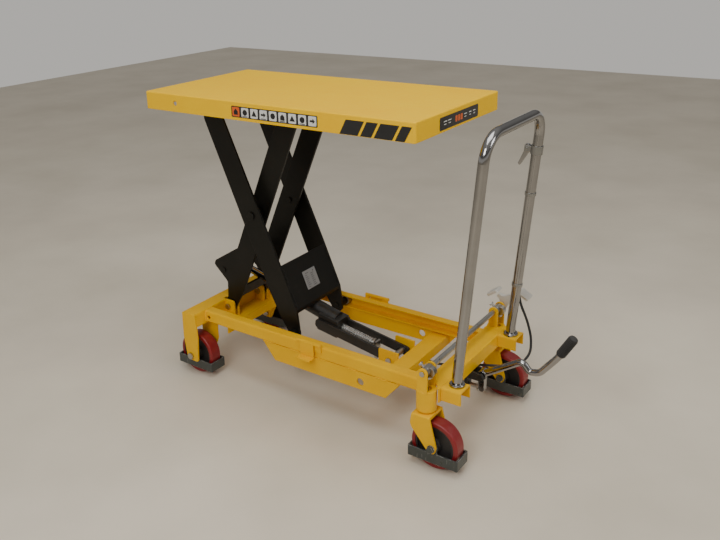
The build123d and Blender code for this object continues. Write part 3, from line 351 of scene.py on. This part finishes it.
# distances of the seams from the frame's corners, and the lengths of the stitches
seamLook = dict(lower=0.006, upper=0.007, beam=0.024, proud=0.0005, topStart=0.008, topEnd=0.032,
                stitch=0.035, stitchPitch=0.112, stitchInset=0.0015, endGap=0.04,
                armStitches=((0.012, 0.060), (0.095, 0.143)))
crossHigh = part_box("front_cross_member")[1]
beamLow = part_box("rear_end_beam")[0]
gussetLow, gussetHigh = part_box("rail_gussets")
railLow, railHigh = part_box("side_rail_near")
farRailLow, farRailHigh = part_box("side_rail_far")
plateLow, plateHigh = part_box("outer_cross_plate")

frameSeams = []
for railSide, sideLow, sideHigh in ((-1, railLow, railHigh), (1, farRailLow, farRailHigh)):
    outerY = sideLow.y if railSide < 0 else sideHigh.y
    for seamX in (crossHigh.x + seamLook["proud"], beamLow.x + seamLook["beam"]):
        frameSeams.append([(seamX, outerY, sideLow.z + seamLook["lower"]),
                           (seamX, outerY, sideHigh.z - seamLook["upper"])])
    frameSeams.append([(crossHigh.x, outerY - railSide * seamLook["topStart"], sideHigh.z),
                       (crossHigh.x, outerY - railSide * seamLook["topEnd"], sideHigh.z)])
    start = gussetLow.x + 0.004
    while start < gussetHigh.x - seamLook["endGap"]:   # stitch welds under the rail
        stitchY = outerY - railSide * seamLook["stitchInset"]
        stitchZ = sideLow.z + 0.0004
        frameSeams.append([(start, stitchY, stitchZ), (start + seamLook["stitch"], stitchY, stitchZ)])
        start += seamLook["stitchPitch"]
weld("frameWelds", frameSeams, "frame_paint", "base", 3)

armSeams = []
slope = Vector((plateLow.x - plateHigh.x, 0, plateHigh.z - plateLow.z)).normalized()
for armSide in (-1, 1):
    seamY = (plateHigh.y if armSide > 0 else plateLow.y) - armSide * 0.001
    top = Vector((plateLow.x + 0.006, seamY, plateHigh.z - 0.004))
    for stitchStart, stitchEnd in seamLook["armStitches"]:
        armSeams.append([tuple(top - slope * stitchStart), tuple(top - slope * stitchEnd)])
weld("armWelds", armSeams, "arm_paint", "outer_arm_pair", 7)
print("weld beads laid")


# ---- labels: blank pictogram cards, slanted stripes and a rating card, with no lettering
labelLook = dict(cards=9, left=-0.112, right=0.176, middle=-0.031, card=0.0285, cardCorner=0.003, thickness=0.0004,
                 margin=0.018, backing=0.034, corner=0.004, ink=0.0002, underline=(0.020, 0.0022, 0.001), drop=0.0118)
near = platformLow.y
across, upward = Vector((1, 0, 0)), Vector((0, 0, 1))
pitch = (labelLook["right"] - labelLook["left"]) / (labelLook["cards"] - 1)
stripMiddle = (labelLook["left"] + labelLook["right"]) / 2
labelZ = platformHigh.z + labelLook["middle"]
signWidth = labelLook["right"] - labelLook["left"] + 2 * labelLook["margin"]

backing = bmesh.new()
slab(backing, roundedBox(signWidth, labelLook["backing"], labelLook["corner"]),
     Vector((centre.x + stripMiddle, near, labelZ)), across, upward, labelLook["thickness"])
newPiece("labelBacking", backing, "label_black", "platform")

symbols = {
    "triangle": [(-0.010, -0.008), (0.010, -0.008), (0.0, 0.010)],
    "disc": [(0.009 * cos(i * pi / 10), 0.009 * sin(i * pi / 10)) for i in range(20)],
    "arrow": [(-0.009, -0.003), (0.001, -0.003), (0.001, -0.008), (0.010, 0.0), (0.001, 0.008), (0.001, 0.003),
              (-0.009, 0.003)],
    "house": [(-0.008, -0.009), (0.008, -0.009), (0.008, 0.002), (0.0, 0.010), (-0.008, 0.002)],
}
order = ("house", "disc", "triangle", "arrow", "disc", "house", "triangle", "disc", "arrow")
whiteCards, orangeCards, darkSymbols = bmesh.new(), bmesh.new(), bmesh.new()
for i in range(labelLook["cards"]):
    spot = Vector((centre.x + labelLook["left"] + i * pitch, near - labelLook["thickness"], labelZ))
    card = roundedBox(labelLook["card"], labelLook["card"], labelLook["cardCorner"])
    slab(orangeCards if i == 0 else whiteCards, card, spot, across, upward, labelLook["thickness"])
    spot = spot + Vector((0, -labelLook["thickness"], 0))
    slab(darkSymbols, symbols[order[i]], spot, across, upward, labelLook["ink"])
    if i % 2:
        underline = shifted(roundedBox(*labelLook["underline"]), 0, -labelLook["drop"])
        slab(darkSymbols, underline, spot, across, upward, labelLook["ink"])
newPiece("labelCardsWhite", whiteCards, "label_white", "platform")
newPiece("labelCardOrange", orangeCards, "label_orange", "platform")
newPiece("labelSymbols", darkSymbols, "label_black", "platform")

stripeLook = dict(start=0.268, thickness=0.0003, low=-0.056, high=-0.014, lean=0.022,
                  bars=(0.060, 0.036, 0.058, 0.030), gap=0.008)
stripes = bmesh.new()
at = stripeLook["start"]
low, high, lean = stripeLook["low"], stripeLook["high"], stripeLook["lean"]
for width in stripeLook["bars"]:
    outline = [(at, low), (at + width, low), (at + width + lean, high), (at + lean, high)]
    slab(stripes, outline, Vector((centre.x, near, platformHigh.z)), across, upward, stripeLook["thickness"])
    at += width + stripeLook["gap"]
newPiece("slantedStripes", stripes, "label_black", "platform")

ratingLook = dict(width=0.236, height=0.037, corner=0.005, middleY=-0.005, middleZ=-0.0325, thickness=0.0004,
                  ink=0.0002, blocks=(-0.020, -0.004, 0.012), block=(0.012, 0.018, 0.003),
                  lines=((-0.086, 0.020), (-0.060, 0.020), (0.036, 0.018), (0.066, 0.016), (0.092, 0.016)))
right, east = Vector((0, 1, 0)), platformHigh.x
ratingSpot = Vector((east, centre.y + ratingLook["middleY"], platformHigh.z + ratingLook["middleZ"]))
ratingCard = bmesh.new()
slab(ratingCard, roundedBox(ratingLook["width"], ratingLook["height"], ratingLook["corner"]), ratingSpot, right,
     upward, ratingLook["thickness"])
newPiece("ratingCard", ratingCard, "label_black", "platform")
ratingSpot = ratingSpot + Vector((ratingLook["thickness"], 0, 0))
ratingOrange, ratingWhite = bmesh.new(), bmesh.new()
for u in ratingLook["blocks"]:
    slab(ratingOrange, shifted(roundedBox(*ratingLook["block"]), u, 0), ratingSpot, right, upward, ratingLook["ink"])
for u, width in ratingLook["lines"]:
    for share, tall, rise in ((1.0, 0.003, 0.004), (0.7, 0.0025, -0.004)):   # a full line over a shorter one
        line = shifted(roundedBox(width * share, tall, 0.001), u, rise)
        slab(ratingWhite, line, ratingSpot, right, upward, ratingLook["ink"])
newPiece("ratingBlocks", ratingOrange, "label_orange", "platform")
newPiece("ratingLines", ratingWhite, "label_white", "platform")

# rating plate on the arms' cover plate: a dark heading bar, a small seal and ruled rows
# places and lengths are shares of the plate's own size
badgeLook = dict(rows=7, top=0.24, pitch=0.105, width=0.80, thick=0.0016, heading=(0.26, 0.0042),
                 headingAt=(-0.20, 0.37), seal=0.0062, sealAt=(0.30, 0.36), ink=0.0002)
badgeLow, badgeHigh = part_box("data_plate")
badgeUp = Vector((badgeLow.x - badgeHigh.x, 0, badgeHigh.z - badgeLow.z)).normalized()
badgeRight = Vector((0, 1, 0))
badgeOut = badgeRight.cross(badgeUp)
badgeSize = (Vector((badgeLow.x, 0, badgeHigh.z)) - Vector((badgeHigh.x, 0, badgeLow.z))).length
badgeWide = badgeHigh.y - badgeLow.y
badgeFace = (badgeLow + badgeHigh) / 2 + badgeOut * 0.0004
badgeMarks = bmesh.new()
headingWidth, headingHeight = badgeLook["heading"]
heading = roundedBox(badgeWide * headingWidth, headingHeight, 0.001)
seal = roundedBox(badgeLook["seal"], badgeLook["seal"], 0.003)
for shape, (acrossShare, upShare) in ((heading, badgeLook["headingAt"]), (seal, badgeLook["sealAt"])):
    placed = shifted(shape, badgeWide * acrossShare, badgeSize * upShare)
    slab(badgeMarks, placed, badgeFace, badgeRight, badgeUp, badgeLook["ink"])
for i in range(badgeLook["rows"]):
    rowUp = badgeSize * (badgeLook["top"] - i * badgeLook["pitch"])
    for start, share in ((-0.40, 0.24 + 0.05 * (i % 3)), (0.04, 0.30 - 0.06 * (i % 2))):
        wide = badgeWide * share * badgeLook["width"]
        row = shifted(roundedBox(wide, badgeLook["thick"], 0.0004, 2), badgeWide * start + wide / 2, rowUp)
        slab(badgeMarks, row, badgeFace, badgeRight, badgeUp, badgeLook["ink"])
newPiece("ratingPlateMarks", badgeMarks, "label_black", "outer_arm_pair")
print("labels placed")


# ---- plunger spring: a real coil in place of the sleeve
springLook = dict(start=0.0945, length=0.1265, radius=0.0122, wire=0.0016, turns=17)
pumpAxis = Vector((-1, 0, 0.172)).normalized()


def springTree():
    tree = bpy.data.node_groups.new("coilSpring", "GeometryNodeTree")
    for label, kind in (("Geometry", "NodeSocketGeometry"), ("Turns", "NodeSocketFloat"),
                        ("Radius", "NodeSocketFloat"), ("Length", "NodeSocketFloat"),
                        ("Wire", "NodeSocketFloat"), ("Finish", "NodeSocketMaterial")):
        tree.interface.new_socket(label, in_out="INPUT", socket_type=kind)
    tree.interface.new_socket("Geometry", in_out="OUTPUT", socket_type="NodeSocketGeometry")
    entry = tree.nodes.new("NodeGroupInput").outputs
    helix = addNode(tree, "GeometryNodeCurveSpiral", {"Resolution": 28, "Rotations": entry["Turns"],
                                                      "Start Radius": entry["Radius"], "End Radius": entry["Radius"],
                                                      "Height": entry["Length"]})
    ring = addNode(tree, "GeometryNodeCurvePrimitiveCircle", {"Resolution": 8, "Radius": entry["Wire"]})
    wire = addNode(tree, "GeometryNodeCurveToMesh", {"Curve": helix.outputs[0], "Profile Curve": ring.outputs[0],
                                                     "Fill Caps": True})
    real = addNode(tree, "GeometryNodeRealizeInstances", {0: wire.outputs[0]})
    dressed = addNode(tree, "GeometryNodeSetMaterial", {"Geometry": real.outputs[0], "Material": entry["Finish"]})
    tree.links.new(dressed.outputs[0], tree.nodes.new("NodeGroupOutput").inputs[0])
    return tree


springMesh = runTree("plungerCoil", bpy.data.meshes.new("seed"), springTree(),
                     {"Turns": float(springLook["turns"]), "Radius": springLook["radius"], "Wire": springLook["wire"],
                      "Length": springLook["length"], "Finish": finishes["spring_wire"]})
springStart = jointPlace["pump_pivot"] + pumpAxis * springLook["start"]
springTurn = Vector((0, 0, 1)).rotation_difference(pumpAxis).to_matrix().to_4x4()
springMesh.transform(Matrix.Translation(springStart) @ springTurn)
for polygon in springMesh.polygons:
    polygon.use_smooth = True
coil = placePiece("plungerCoil", springMesh, "spring_wire", "pump")
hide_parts("plunger_spring")
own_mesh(coil)
print("spring coiled")


# ---- pedal grip: a moulded sleeve with ribs all round
gripLook = dict(start=(0.234, 0, 0.134), length=0.074, radius=0.0136, rib=0.0017, spacing=0.0052)
gripAxis = Vector((36, 0, 62)).normalized()


def lathe(bm, profile, origin, axis, segments=40):
    # turns (along, radius) points about an axis
    side = axis.orthogonal().normalized()
    other = axis.cross(side)
    rings = []
    for along, radius in profile:
        base = origin + axis * along
        if radius == 0:
            rings.append([bm.verts.new(base)])
            continue
        rings.append([bm.verts.new(base + (side * cos(a) + other * sin(a)) * radius)
                      for a in (2 * pi * i / segments for i in range(segments))])
    for first, second in zip(rings, rings[1:]):
        for i in range(segments):
            j = (i + 1) % segments
            corner = [ring[k] if len(ring) > 1 else ring[0]
                      for ring, k in ((first, i), (first, j), (second, j), (second, i))]
            bm.faces.new(list(dict.fromkeys(corner)))


gripStart = jointPlace["pedal_press"] + Vector(gripLook["start"])
sleeve = bmesh.new()
gripRadius, gripLength = gripLook["radius"], gripLook["length"]
lathe(sleeve, [(0, 0), (0, gripRadius * 0.86), (0.0008, gripRadius * 0.97), (0.002, gripRadius),
               (gripLength - 0.005, gripRadius), (gripLength - 0.002, gripRadius * 0.9),
               (gripLength - 0.0005, gripRadius * 0.6), (gripLength, 0)], gripStart, gripAxis)
grip = newPiece("gripSleeve", sleeve, "grip_rubber", "pedal")
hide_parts("foot_grip")

ringUnit = bmesh.new()
segments, around = 36, 8
ringVerts = []
for i in range(segments):
    a = 2 * pi * i / segments
    ringVerts.append([])
    for k in range(around):
        b = 2 * pi * k / around
        reach = gripRadius + gripLook["rib"] * 0.75 * cos(b)
        ringVerts[-1].append(ringUnit.verts.new((reach * cos(a), reach * sin(a), gripLook["rib"] * sin(b))))
for i in range(segments):
    for k in range(around):
        ringUnit.faces.new((ringVerts[i][k], ringVerts[(i + 1) % segments][k],
                            ringVerts[(i + 1) % segments][(k + 1) % around], ringVerts[i][(k + 1) % around]))
bmesh.ops.recalc_face_normals(ringUnit, faces=ringUnit.faces)
ribUnit = unitObject(ringUnit)
tilt = Vector((0, 0, 1)).rotation_difference(gripAxis).to_euler()
ribPath = pathMesh([[tuple(gripStart + gripAxis * 0.006), tuple(gripStart + gripAxis * (gripLength - 0.009))]])
ribMesh = runTree("gripRibs", ribPath, repeatPieces,
                  {"Unit": ribUnit, "Spacing": gripLook["spacing"], "Turn": tuple(tilt), "Vary": 0.0, "Seed": 1,
                   "Finish": finishes["grip_rubber"]})
bpy.data.objects.remove(ribUnit)
for polygon in ribMesh.polygons:
    polygon.use_smooth = True
placePiece("gripRibs", ribMesh, "grip_rubber", "pedal")
print("grip moulded")


# ---- floor, light and camera
floorLook = dict(colour=(0.80, 0.715, 0.57), darker=(0.67, 0.595, 0.47), size=14.0)


def makeFloor():
    s = Shade("paleFloor")
    place = s.add("ShaderNodeTexCoord").outputs["Object"]
    cloud = s.add("ShaderNodeTexNoise", {"Vector": place, "Scale": 1.6, "Detail": 6.0}).outputs[0]
    s.link(s.mix(s.ramp(cloud, 0.35, 0.7), rgba(floorLook["colour"]), rgba(floorLook["darker"])), "Base Color")
    s.link(s.ramp(cloud, 0.3, 0.7, 0.34, 0.5), "Roughness")
    half = floorLook["size"] / 2
    bm = bmesh.new()
    bm.faces.new([bm.verts.new((x, y, 0)) for x, y in ((-half, -half), (half, -half), (half, half), (-half, half))])
    mesh = bpy.data.meshes.new("floor")
    bm.to_mesh(mesh)
    bm.free()
    mesh.materials.append(s.material)
    floor = bpy.data.objects.new("floor", mesh)
    bpy.context.scene.collection.objects.link(floor)


makeFloor()

world = bpy.data.worlds.new("studio")
world.use_nodes = True
worldTree = world.node_tree
background = worldTree.nodes["Background"]
sky = worldTree.nodes.new("ShaderNodeTexCoord")
height = worldTree.nodes.new("ShaderNodeSeparateXYZ")
blend = worldTree.nodes.new("ShaderNodeValToRGB")
worldTree.links.new(sky.outputs["Generated"], height.inputs[0])
worldTree.links.new(height.outputs["Z"], blend.inputs[0])
worldTree.links.new(blend.outputs[0], background.inputs[0])
blend.color_ramp.elements[0].position, blend.color_ramp.elements[0].color = 0.03, (0.95, 0.92, 0.87, 1)
blend.color_ramp.elements[1].position, blend.color_ramp.elements[1].color = 0.13, (0.22, 0.21, 0.20, 1)
overhead = blend.color_ramp.elements.new(0.75)
overhead.color = (0.80, 0.79, 0.77, 1)
background.inputs["Strength"].default_value = 0.54
bpy.context.scene.world = world

lampLook = {
    "key": dict(place=(0.6, -3.2, 2.6), size=1.4, power=46),
    "side": dict(place=(3.2, 0.4, 2.2), size=1.2, power=20),
    "top": dict(place=(0.3, -0.4, 3.4), size=2.2, power=46),
}
for name, look in lampLook.items():
    data = bpy.data.lights.new(name, "AREA")
    data.shape, data.size, data.energy = "SQUARE", look["size"], look["power"]
    lamp = bpy.data.objects.new(name, data)
    lamp.location = look["place"]
    lamp.rotation_euler = (Vector((centre.x, 0, 0.5)) - lamp.location).to_track_quat("-Z", "Y").to_euler()
    bpy.context.scene.collection.objects.link(lamp)

cameraLook = dict(place=(1.5206, -2.0326, 1.4687), heading=2.20699, dip=-0.31679, roll=-0.03105, focal=1.1182,
                  shift=(0.05, -0.0903))
camera = bpy.data.objects.new("camera", bpy.data.cameras.new("camera"))
forward = Vector((cos(cameraLook["dip"]) * cos(cameraLook["heading"]),
                  cos(cameraLook["dip"]) * sin(cameraLook["heading"]), sin(cameraLook["dip"])))
level = forward.cross(Vector((0, 0, 1))).normalized()
straight = level.cross(forward)
roll = cameraLook["roll"]
rightward = level * cos(roll) + straight * sin(roll)
topward = straight * cos(roll) - level * sin(roll)
turned = Matrix((rightward, topward, -forward)).transposed().to_4x4()
camera.matrix_world = Matrix.Translation(Vector(cameraLook["place"]) + Vector((centre.x, centre.y, 0))) @ turned
camera.data.sensor_width = 36.0
camera.data.lens = cameraLook["focal"] * 36.0
camera.data.shift_x, camera.data.shift_y = cameraLook["shift"]
bpy.context.scene.collection.objects.link(camera)
bpy.context.scene.camera = camera
print("floor, lights and camera ready")
